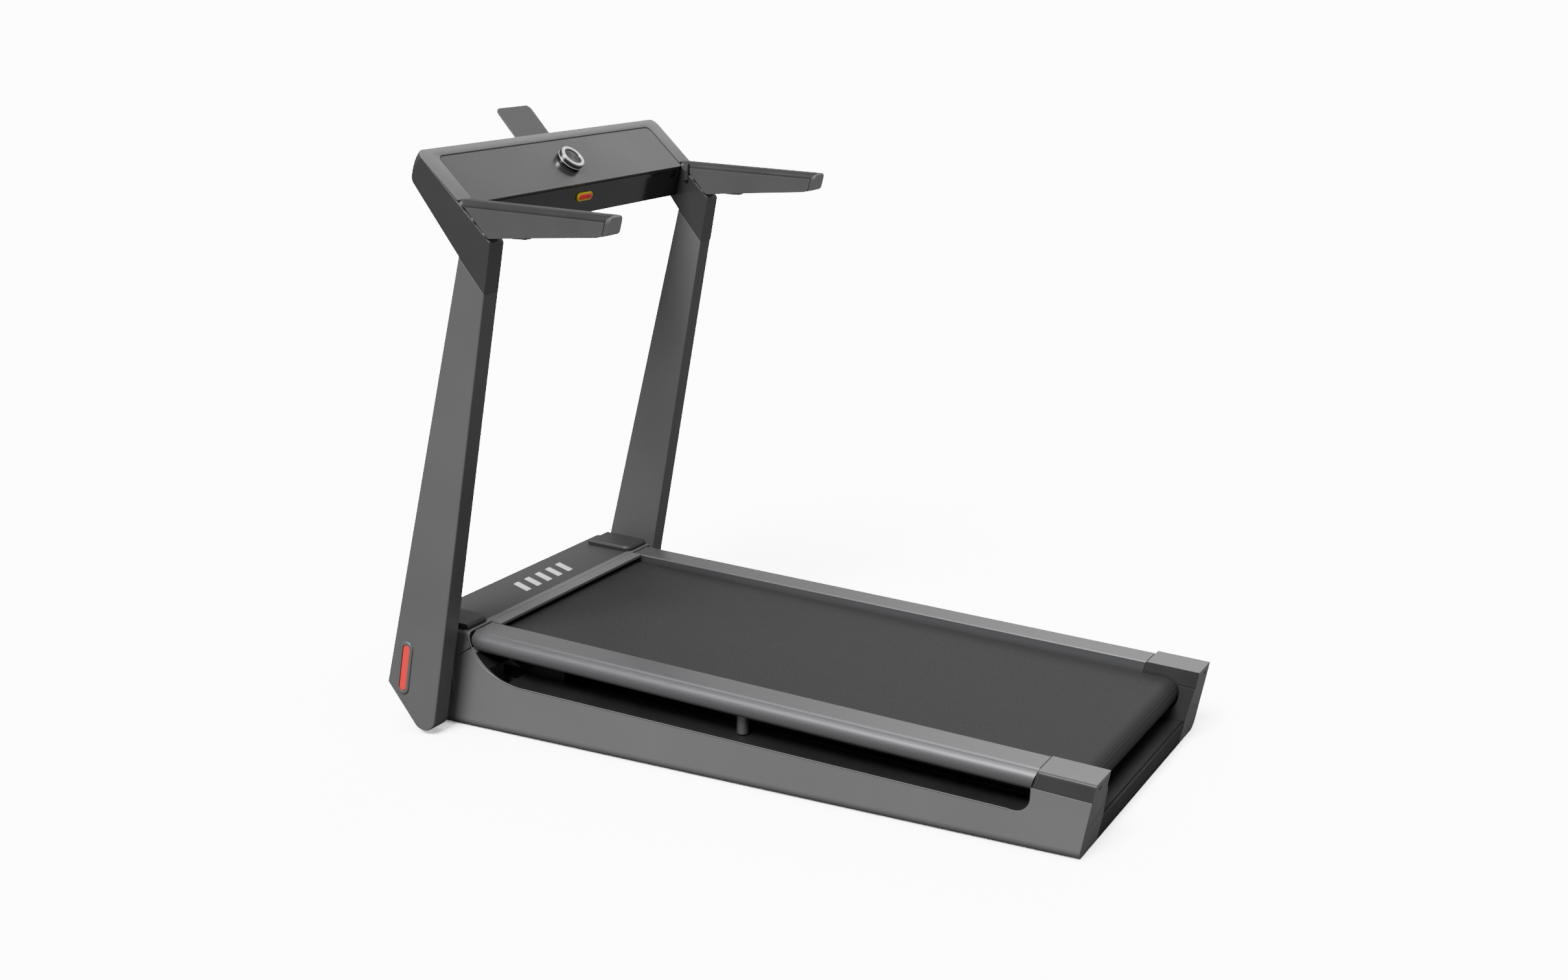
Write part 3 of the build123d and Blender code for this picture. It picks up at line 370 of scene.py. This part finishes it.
def frameAt(origin, across, outwards):
    # matrix with local X across and local Z outwards
    sideways, normal = Vector(across).normalized(), Vector(outwards).normalized()
    up = normal.cross(sideways)
    return Matrix((
        (sideways.x, up.x, normal.x, origin[0]),
        (sideways.y, up.y, normal.y, origin[1]),
        (sideways.z, up.z, normal.z, origin[2]),
        (0.0, 0.0, 0.0, 1.0)))


def shifted(place, x, y, z):
    return place @ Matrix.Translation((x * mm, y * mm, z * mm))


def roundedOutline(width, height, corner, at=(0.0, 0.0)):
    # flat rounded rectangle, sizes in mm, eight steps round each corner
    bpy.ops.object.select_all(action="DESELECT")
    bpy.ops.mesh.primitive_plane_add(size=1.0, location=(at[0] * mm, at[1] * mm, 0.0))
    piece = bpy.context.object
    piece.scale = (width * mm, height * mm, 1.0)
    bpy.ops.object.transform_apply(location=True, rotation=False, scale=True)
    bpy.ops.object.mode_set(mode="EDIT")
    bpy.ops.mesh.select_all(action="SELECT")
    bpy.ops.mesh.bevel(offset=corner * mm, segments=8, affect="VERTICES")
    bpy.ops.object.mode_set(mode="OBJECT")
    return piece


def ringOutline(piece, hole):
    # the flat band between two rounded rectangles
    only(piece)
    hole.select_set(True)
    bpy.ops.object.join()
    bpy.ops.object.mode_set(mode="EDIT")
    bpy.ops.mesh.select_all(action="SELECT")
    bpy.ops.mesh.delete(type="ONLY_FACE")
    bpy.ops.mesh.select_all(action="SELECT")
    bpy.ops.mesh.bridge_edge_loops()
    bpy.ops.object.mode_set(mode="OBJECT")
    return piece


def cutBelow(piece, height):
    # removes what lies below that local height, in mm
    only(piece)
    bpy.ops.object.mode_set(mode="EDIT")
    bpy.ops.mesh.select_all(action="SELECT")
    bpy.ops.mesh.bisect(plane_co=(0.0, height * mm, 0.0), plane_no=(0.0, 1.0, 0.0), clear_inner=True)
    bpy.ops.object.mode_set(mode="OBJECT")
    return piece


def thicken(piece, depth, soft):
    # gives a flat outline its depth and soft edges, in mm
    only(piece)
    bpy.ops.object.mode_set(mode="EDIT")
    bpy.ops.mesh.select_all(action="SELECT")
    bpy.ops.mesh.extrude_region_move(TRANSFORM_OT_translate={"value": (0.0, 0.0, depth * mm)})
    bpy.ops.mesh.select_all(action="SELECT")
    bpy.ops.mesh.normals_make_consistent(inside=False)
    bpy.ops.object.mode_set(mode="OBJECT")
    if soft:
        rounder = piece.modifiers.new("soft", "BEVEL")
        rounder.width, rounder.segments = soft * mm, 3
        rounder.limit_method, rounder.angle_limit = "ANGLE", math.radians(50)
        bpy.ops.object.modifier_apply(modifier="soft")
    return piece


def turned(piece, radius):
    # turns a flat outline round the local Z axis, its middle at that radius in mm
    only(piece)
    piece.rotation_euler = (math.pi / 2, 0.0, 0.0)
    piece.location = (radius * mm, 0.0, 0.0)
    bpy.ops.object.transform_apply(location=True, rotation=True, scale=False)
    bpy.ops.object.mode_set(mode="EDIT")
    bpy.ops.mesh.select_all(action="SELECT")
    bpy.ops.mesh.delete(type="ONLY_FACE")
    bpy.ops.mesh.select_all(action="SELECT")
    bpy.ops.mesh.spin(steps=72, angle=2 * math.pi, center=(0.0, 0.0, 0.0), axis=(0.0, 0.0, 1.0))
    bpy.ops.mesh.select_all(action="SELECT")
    bpy.ops.mesh.remove_doubles(threshold=0.01 * mm)
    bpy.ops.mesh.normals_make_consistent(inside=False)
    bpy.ops.object.mode_set(mode="OBJECT")
    return piece


def bead(points, radii, name):
    # a round bead along a line of points in the row frame, in mm
    bpy.ops.object.select_all(action="DESELECT")
    line = bpy.data.curves.new(name, "CURVE")
    line.dimensions = "3D"
    line.bevel_depth, line.bevel_resolution = mm, 3
    line.use_fill_caps = True
    spline = line.splines.new("POLY")
    spline.points.add(len(points) - 1)
    for point, place, radius in zip(spline.points, points, radii):
        point.co = (place[0] * mm, place[1] * mm, place[2] * mm, 1.0)
        point.radius = radius
    piece = bpy.data.objects.new(name, line)
    bpy.context.scene.collection.objects.link(piece)
    only(piece)
    bpy.ops.object.convert(target="MESH")
    return bpy.context.object


def settle(piece, name, place, body, finish):
    # puts the finished form in the row frame and lets it follow its body
    only(piece)
    piece.matrix_world = place
    bpy.ops.object.transform_apply(location=True, rotation=True, scale=True)
    smoothPiece(piece, 35)
    piece.name = name
    piece.data.name = name
    piece.data.materials.clear()
    piece.data.materials.append(finishes[finish])
    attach(piece, body)


# the console's border: a frame round the panel, open at its lower edge
panelLow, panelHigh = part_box("console_panel")
panelWide = (panelHigh[0] - panelLow[0]) / mm
panelThick = 2.5
panelTop = (0.0, panelHigh[1] - panelThick * mm * math.sin(panelSlope), panelHigh[2])
panelFrame = frameAt(panelTop, (1, 0, 0), slopeUp)
mastWide = -2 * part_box("left_arm")[0].x / mm
tall = 300.0        # outlines are made this tall and then cut at their lower edge
border = {"margin": 0.5, "top": 16.8, "low": -93.5, "corner": 16.0, "innerCorner": 14.0, "thick": 0.6,
          "soft": 0.25, "lift": 0.22}
borderShape = ringOutline(
    roundedOutline(mastWide - 2 * border["margin"], tall, border["corner"],
                   (0.0, border["top"] - tall / 2)),
    roundedOutline(panelWide, tall, border["innerCorner"], (0.0, -tall / 2)))
consoleBorder = thicken(cutBelow(borderShape, border["low"]), border["thick"], border["soft"])
settle(consoleBorder, "consoleBorder", shifted(panelFrame, 0, 0, border["lift"]), "mast", "satinAbs")

# black strip between the border and the panel: painted shade of the gap between them
gapShadeStrip = {"outside": 0.2, "inside": 1.5, "low": -100.0, "thick": 0.2, "lift": 0.03}
gapShadeShape = ringOutline(
    roundedOutline(panelWide + 2 * gapShadeStrip["outside"], tall, border["innerCorner"], (0.0, -tall / 2)),
    roundedOutline(panelWide - 2 * gapShadeStrip["inside"], tall, border["innerCorner"] - gapShadeStrip["inside"],
                   (0.0, -gapShadeStrip["inside"] - 0.1 - tall / 2)))
panelGapShade = thicken(cutBelow(gapShadeShape, gapShadeStrip["low"]), gapShadeStrip["thick"], 0.0)
settle(panelGapShade, "panelGapShade", shifted(panelFrame, 0, 0, gapShadeStrip["lift"]), "mast", "blackSheetAndShade")

# the knob's rings, turned round its axis
knob = {"fromPanelTop": 51.1, "lift": 0.2}
knobFrame = shifted(panelFrame, 0, -knob["fromPanelTop"], knob["lift"])
knobRings = {
    "knobRing": {"radius": 20.3, "width": 5.6, "height": 1.6, "corner": 0.75, "lift": 13.1,
                 "finish": "chromeRing"},
    "knobCollar": {"radius": 24.0, "width": 1.4, "height": 1.6, "corner": 0.6, "lift": 4.6,
                   "finish": "chromeRing"},
    # black ring in the gap between the chrome ring and the disc: painted shade
    "knobGapShade": {"radius": 17.0, "width": 0.9, "height": 1.0, "corner": 0.3, "lift": 12.1,
                "finish": "blackSheetAndShade"},
}
for name, ring in knobRings.items():
    outline = roundedOutline(ring["width"], ring["height"], ring["corner"])
    settle(turned(outline, ring["radius"]), name, shifted(knobFrame, 0, 0, ring["lift"]), "control_knob",
           ring["finish"])
finishes["knobDisc"] = turnedDisc("knobDisc", knobFrame)
paintFaces("knob_button", "knobDisc", lambda n: n.dot(slopeUp) > 0.9)

# safety key: red grip in its yellow surround; the dark dot stands for the grip's hole and is painted shade
fasciaOut = Vector((0.0, -0.97, -0.2425))
fasciaThick = 2.6
fasciaLow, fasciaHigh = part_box("console_fascia")
fasciaTop = (0.0, fasciaLow[1], fasciaHigh[2] + fasciaThick * mm * fasciaOut.z)
grip = {"fromTop": 19.5, "width": 39.0, "height": 8.6, "corner": 4.2, "thick": 1.5, "soft": 0.5,
        "lift": 3.2}
dot = {"size": 2.4, "corner": 1.1, "thick": 0.5, "aside": 5.5, "lift": 4.4}
keyPlace = shifted(frameAt(fasciaTop, (1, 0, 0), fasciaOut), 0, -grip["fromTop"], 0)
gripShape = roundedOutline(grip["width"], grip["height"], grip["corner"])
keyGrip = thicken(gripShape, grip["thick"], grip["soft"])
settle(keyGrip, "keyGrip", shifted(keyPlace, 0, 0, grip["lift"]), "safety_key", "redAbs")
# black square where the grip's hole is: painted shade
keyHoleShade = thicken(roundedOutline(dot["size"], dot["size"], dot["corner"]), dot["thick"], 0.0)
settle(keyHoleShade, "keyHoleShade", shifted(keyPlace, dot["aside"], 0, dot["lift"]), "safety_key", "blackSheetAndShade")
nodes["safety_key"].data.materials[0] = finishes["yellowAbs"]

# black gloss hinge covers along the handrails' roots, with a scalloped edge
cover = {"inset": 18.5, "back": 1.4, "below": 2.0, "run": 53.0, "fall": 58.0, "radius": 3.4, "swell": 0.9,
         "swells": 5, "steps": 24, "widen": 5.0}
for side, word in sides:
    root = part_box(word + "_handrail")[1] / mm
    across = side * (mastWide / 2 - cover["inset"])
    path, width = [], []
    for step in range(cover["steps"] + 1):
        along = step / cover["steps"]
        path.append((across, root.y - cover["back"] - cover["run"] * along,
                     root.z - cover["below"] - cover["fall"] * along))
        width.append(cover["radius"] + cover["swell"] * math.sin(along * math.pi * cover["swells"]))
    hingeCover = bead(path, width, word + "_hinge_cover")
    hingeCover.scale = (cover["widen"], 1.0, 1.0)        # the round bead becomes a wide, flat one
    hingeCover.location.x = across * mm * (1 - cover["widen"])
    bpy.ops.object.transform_apply(location=True, rotation=True, scale=True)
    settle(hingeCover, word + "_hinge_cover", Matrix.Identity(4), "mast", "pianoAbs")
print("console pieces made")

# light lip over the hood's rear edge and down its corner; round the window's front and along its sill it
# thins to a light bead that is a painted highlight
hoodLow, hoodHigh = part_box("motor_hood")
beamLow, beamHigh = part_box("left_side_beam")
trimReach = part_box("hood_trim")[1].x / mm
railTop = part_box("left_side_rail")[1].z / mm
baseHalf = hoodHigh[0] / mm
lip = {"ahead": 1.2, "over": 0.8, "arcStart": 7.0, "arcStep": 5.6, "arcSteps": 12, "arcRun": 97.0,
       "arcFall": 59.5, "arcHighlightRadius": 0.9, "sillHighlightRadius": 0.8,
       "sill": ((371.8, 71.8), (132.8, 63.3))}        # the sill's ends, from the beam's rear end and foot
lipY, lipZ = hoodLow[1] / mm + lip["ahead"], railTop + lip["over"]
arcEnd = math.radians(lip["arcStart"] + lip["arcSteps"] * lip["arcStep"])
for side, word in sides:
    edge = side * baseHalf
    path = [(side * (trimReach - 0.4), lipY + 1.4, lipZ - 0.6),
            (side * (baseHalf - 7.0), lipY + 1.4, lipZ - 0.6),
            (side * (baseHalf - 2.4), lipY + 1.2, lipZ - 2.8),
            (side * (baseHalf - 0.2), lipY + 1.0, lipZ - 8.0),
            (edge, lipY - 0.6, lipZ - 18.0),
            (edge, lipY - 5.0, lipZ - 28.0)]
    width = [2.6, 2.6, 2.6, 2.4, 1.8, 1.2]
    for step in range(1, lip["arcSteps"] + 1):
        # the window's front curve, as an arc from the hood down to the sill
        turn = math.radians(lip["arcStart"] + step * lip["arcStep"])
        path.append((edge, lipY - 5.0 - lip["arcRun"] * (1 - math.cos(turn)) / (1 - math.cos(arcEnd)),
                     lipZ - 28.0 - lip["arcFall"] * math.sin(turn) / math.sin(arcEnd)))
        # thin light bead round the window's front: painted highlight
        width.append(lip["arcHighlightRadius"])
    for ahead, above in lip["sill"]:
        path.append((edge, beamLow[1] / mm + ahead, beamLow[2] / mm + above))
        # thin light bead along the sill: painted highlight
        width.append(lip["sillHighlightRadius"])
    windowLipAndHighlight = bead(path, width, word + "_window_lip_and_highlight")
    settle(windowLipAndHighlight, word + "_window_lip_and_highlight", Matrix.Identity(4), "base", "trimAbsAndHighlight")

# the light trim carries on over the hood's rear edge as a narrow saddle
hoodUp = Vector((0.0, -0.0407, 0.99917))        # the hood's top rises a little towards the front
saddle = {"depth": 12.0, "drop": 15.0, "corner": 6.6, "outside": 0.7, "inside": 0.1, "wall": 0.6,
          "soft": 0.3, "ahead": 13.9, "over": 1.55, "tall": 80.0}
saddleShape = ringOutline(
    roundedOutline(2 * (baseHalf + saddle["outside"]), saddle["tall"], saddle["corner"],
                   (0.0, -saddle["tall"] / 2)),
    roundedOutline(2 * (baseHalf + saddle["inside"]), saddle["tall"], saddle["corner"] - saddle["wall"],
                   (0.0, -saddle["wall"] - saddle["tall"] / 2)))
trimSaddle = thicken(cutBelow(saddleShape, -saddle["drop"]), saddle["depth"], saddle["soft"])
saddleTop = (0.0, hoodLow[1] + saddle["ahead"] * mm, (railTop + saddle["over"]) * mm)
saddlePlace = frameAt(saddleTop, (1, 0, 0), (0.0, -hoodUp.z, hoodUp.y))
settle(trimSaddle, "trimSaddle", saddlePlace, "base", "trimAbsAndHighlight")

# black inner cheeks behind the windows' front ends, so that no daylight shows through the base
cheek = {"width": 150.0, "height": 66.0, "corner": 12.0, "thick": 1.2, "soft": 0.3, "inside": 67.8,
         "behind": 78.0, "below": 42.0}
for side, word in sides:
    cheekShape = roundedOutline(cheek["width"], cheek["height"], cheek["corner"])
    windowCheek = thicken(cheekShape, cheek["thick"], cheek["soft"])
    middle = (side * (baseHalf - cheek["inside"]) * mm, hoodLow[1] - cheek["behind"] * mm,
              beamHigh[2] - cheek["below"] * mm)
    cheekPlace = frameAt(middle, (0, 1, 0), (side, 0, 0))
    settle(windowCheek, word + "_window_cheek", cheekPlace, "base", "blackSheetAndShade")

# generic mark on the hood: a row of leaning bars
mark = {"bars": 5, "pitch": 34.0, "width": 15.0, "height": 44.0, "corner": 1.5, "thick": 0.15, "lean": 0.42,
        "aside": 18.0, "ahead": 64.5, "lift": 0.42}
leaning = Matrix(((1, mark["lean"], 0, 0), (0, 1, 0, 0), (0, 0, 1, 0), (0, 0, 0, 1)))
bars = []
for index in range(mark["bars"]):
    aside = (index - mark["bars"] // 2) * mark["pitch"]
    barShape = roundedOutline(mark["width"], mark["height"], mark["corner"], (aside, 0.0))
    bar = thicken(barShape, mark["thick"], 0.0)
    bar.data.transform(leaning)        # the shear operator needs a window
    bars.append(bar)
only(bars[0])
for bar in bars[1:]:
    bar.select_set(True)
bpy.ops.object.join()
markRise = hoodUp.y * (hoodHigh[1] - hoodLow[1] - mark["ahead"] * mm)
markSpot = (mark["aside"] * mm, hoodLow[1] + mark["ahead"] * mm, hoodHigh[2] + markRise)
settle(bpy.context.object, "hoodMark", shifted(frameAt(markSpot, (1, 0, 0), hoodUp), 0, 0, mark["lift"]),
       "base", "whitePrint")

# pan-head screws that hold the console's back cover and the base's front panel
screw = {"head": 8.0, "lift": 1.8, "soft": 0.5, "slotLong": 4.8, "slotWide": 1.1, "slotHigh": 0.3,
         "slotSunk": 0.1, "inset": 12.0, "backProud": 1.2, "panelRow": 38.0}


def screwHead(name, place, body):
    head = thicken(roundedOutline(screw["head"], screw["head"], screw["head"] * 0.49), screw["lift"],
                   screw["soft"])
    # black bar standing for the head's slot: painted shade
    slotShade = thicken(roundedOutline(screw["slotLong"], screw["slotWide"], 0.3), screw["slotHigh"], 0.0)
    slotPlace = shifted(place, 0, 0, screw["lift"] - screw["slotSunk"])
    settle(slotShade, name + "_slot", slotPlace, body, "blackSheetAndShade")
    settle(head, name, place, body, "zincSteel")


backLow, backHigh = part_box("console_back")
backSlope = math.atan2(backHigh[2] - backLow[2], backHigh[1] - backLow[1])
backOut = Vector((0.0, math.sin(backSlope), -math.cos(backSlope)))
backUp = Vector((0.0, math.cos(backSlope), math.sin(backSlope)))
backMiddle = Vector((0.0, (backLow[1] + backHigh[1]) / 2, (backLow[2] + backHigh[2]) / 2))
backMiddle += backOut * screw["backProud"] * mm
backLong = Vector((backHigh[1] - backLow[1], backHigh[2] - backLow[2])).length
backReach = backLong / 2 - screw["inset"] * mm
frontLow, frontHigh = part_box("front_panel")
frontMiddle = (frontLow[2] + frontHigh[2]) / 2
for side, word in sides:
    for level, height in ((-1, "lower"), (1, "upper")):
        spot = backMiddle + backUp * level * backReach
        spot.x = side * (backHigh[0] - screw["inset"] * mm)
        screwHead(f"console_screw_{word}_{height}", frameAt(spot, (1, 0, 0), backOut), "mast")
        spot = Vector((side * (frontHigh[0] - screw["inset"] * mm), frontHigh[1],
                       frontMiddle + level * screw["panelRow"] * mm))
        screwHead(f"panel_screw_{word}_{height}", frameAt(spot, (1, 0, 0), (0, 1, 0)), "base")
print("base pieces made")

# camera: place in metres, angles in degrees, lens in mm on a 36 mm sensor
camera = {"place": (-2.7918, -1.4815, 1.3043), "yaw": 61.437, "down": 15.394, "roll": -0.474, "lens": 43.38,
          "sensor": 36.0}
yaw, down, roll = (math.radians(camera[k]) for k in ("yaw", "down", "roll"))
forward = Vector((math.sin(yaw) * math.cos(down), math.cos(yaw) * math.cos(down), -math.sin(down)))
level = Vector((math.cos(yaw), -math.sin(yaw), 0.0))
right = level * math.cos(roll) + level.cross(forward) * math.sin(roll)
top = right.cross(forward)
bpy.ops.object.camera_add()
cameraObject = bpy.context.object
cameraObject.data.lens = camera["lens"]
cameraObject.data.sensor_width = camera["sensor"]
cameraObject.matrix_world = Matrix((
    (right.x, top.x, -forward.x, camera["place"][0]),
    (right.y, top.y, -forward.y, camera["place"][1]),
    (right.z, top.z, -forward.z, camera["place"][2]),
    (0.0, 0.0, 0.0, 1.0)))
bpy.context.scene.camera = cameraObject

lamps = [  # direction the light travels, strength, softness in degrees
    ((0.62, 0.02, -0.78), 4.6, 25.0),        # main light, from the left and above
    ((0.10, 0.10, -0.99), 1.3, 40.0),        # soft top light
    ((-0.80, -0.10, -0.48), 0.3, 30.0),        # faint light from the right
]
for heading, strength, softness in lamps:
    bpy.ops.object.light_add(type="SUN", location=(0.0, 0.0, 5.0))
    lamp = bpy.context.object
    lamp.data.energy = strength
    lamp.data.angle = math.radians(softness)
    lamp.rotation_euler = Vector(heading).to_track_quat("-Z", "Y").to_euler()

# the surroundings: seen near white by the camera, but much dimmer where they light the treadmill
studio = {"floorSize": 160.0, "skySeen": 12.6, "skyLight": 0.42, "floorSeen": 6.3, "floorLight": 0.14}
world = bpy.data.worlds.new("studioWorld")
bpy.context.scene.world = world
world.use_nodes = True
worldTree = world.node_tree
worldTree.nodes.clear()
ray = addNode(worldTree, "LightPath", {}, {})
white = linearColor("#ffffff")
fill = addNode(worldTree, "Background", {}, {"Color": white, "Strength": studio["skyLight"]})
backdrop = addNode(worldTree, "Background", {}, {"Color": white, "Strength": studio["skySeen"]})
sky = addNode(worldTree, "MixShader", {},
              {0: ray.outputs["Is Camera Ray"], 1: fill.outputs[0], 2: backdrop.outputs[0]})
addNode(worldTree, "OutputWorld", {}, {"Surface": sky.outputs[0]})

bpy.ops.mesh.primitive_plane_add(size=studio["floorSize"])
floor = bpy.context.object
floor.name = "studioFloor"
floorMaterial, floorTree, _ = startMaterial("studioPaper")
floorRay = addNode(floorTree, "LightPath", {}, {})
paper = addNode(floorTree, "BsdfDiffuse", {}, {"Color": [studio["floorSeen"]] * 3 + [1.0]})
bounce = addNode(floorTree, "BsdfDiffuse", {}, {"Color": [studio["floorLight"]] * 3 + [1.0]})
floorShader = addNode(floorTree, "MixShader", {},
                      {0: floorRay.outputs["Is Camera Ray"], 1: bounce.outputs[0], 2: paper.outputs[0]})
addNode(floorTree, "OutputMaterial", {}, {"Surface": floorShader.outputs[0]})
floor.data.materials.append(floorMaterial)
print("camera, lights and floor placed")
